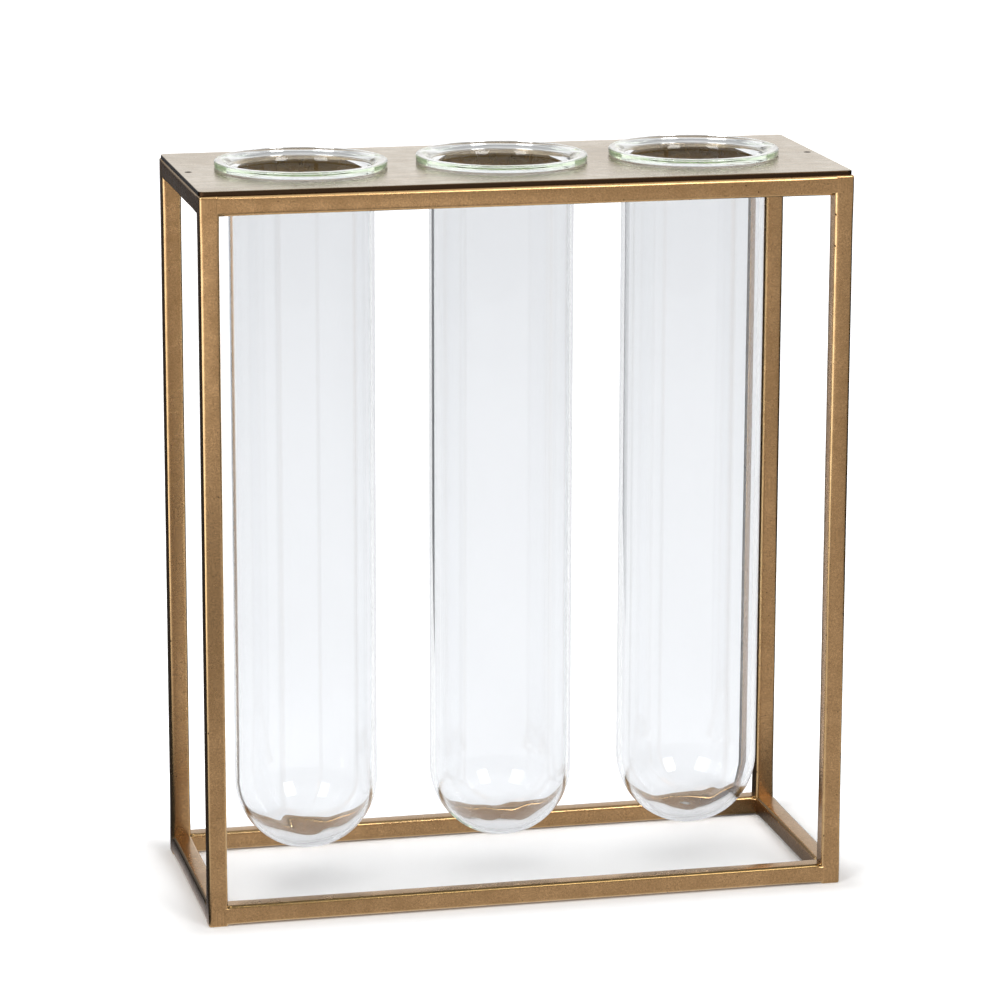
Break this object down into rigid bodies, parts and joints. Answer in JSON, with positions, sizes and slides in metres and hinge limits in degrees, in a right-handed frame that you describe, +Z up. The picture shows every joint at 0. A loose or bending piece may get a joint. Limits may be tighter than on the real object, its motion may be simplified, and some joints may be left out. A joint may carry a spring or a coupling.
{
  "type": "test tube vase",
  "caption": "Bud vase of clear glass test tubes that hang by their lips through a holed brass plate on an open stand of square bar, and lift out for filling.",
  "frame": {"origin": "on the surface that the stand rests on, under its middle", "axes": "+Z up, +X to the right along the row of tubes seen from the front, +Y to the back"},
  "size_m": [0.182, 0.072, 0.2074],
  "materials": {
    "bar": "antiqued, satin, edges rubbed bright",
    "sheet": "antiqued, satin, fine brushing along the length",
    "pin": "antiqued, dark",
    "tube": "clear, smooth"
  },
  "bodies": {
    "stand": {"front_left_post": "bar", "front_right_post": "bar", "back_left_post": "bar", "back_right_post": "bar", "front_bottom_rail": "bar", "back_bottom_rail": "bar", "left_bottom_rail": "bar", "right_bottom_rail": "bar", "front_top_rail": "bar", "back_top_rail": "bar", "left_top_rail": "bar", "right_top_rail": "bar", "top_plate": "sheet", "left_plate_pin": "pin", "right_plate_pin": "pin"},
    "left_tube": {"left_test_tube": "tube"},
    "centre_tube": {"centre_test_tube": "tube"},
    "right_tube": {"right_test_tube": "tube"}
  },
  "joints": [
    {"name": "left_tube_lift", "type": "slide", "parent": "stand", "child": "left_tube", "axis": [0, 0, 1], "range_m": [0, 0.2]},
    {"name": "centre_tube_lift", "type": "slide", "parent": "stand", "child": "centre_tube", "axis": [0, 0, 1], "range_m": [0, 0.2]},
    {"name": "right_tube_lift", "type": "slide", "parent": "stand", "child": "right_tube", "axis": [0, 0, 1], "range_m": [0, 0.2]}
  ]
}
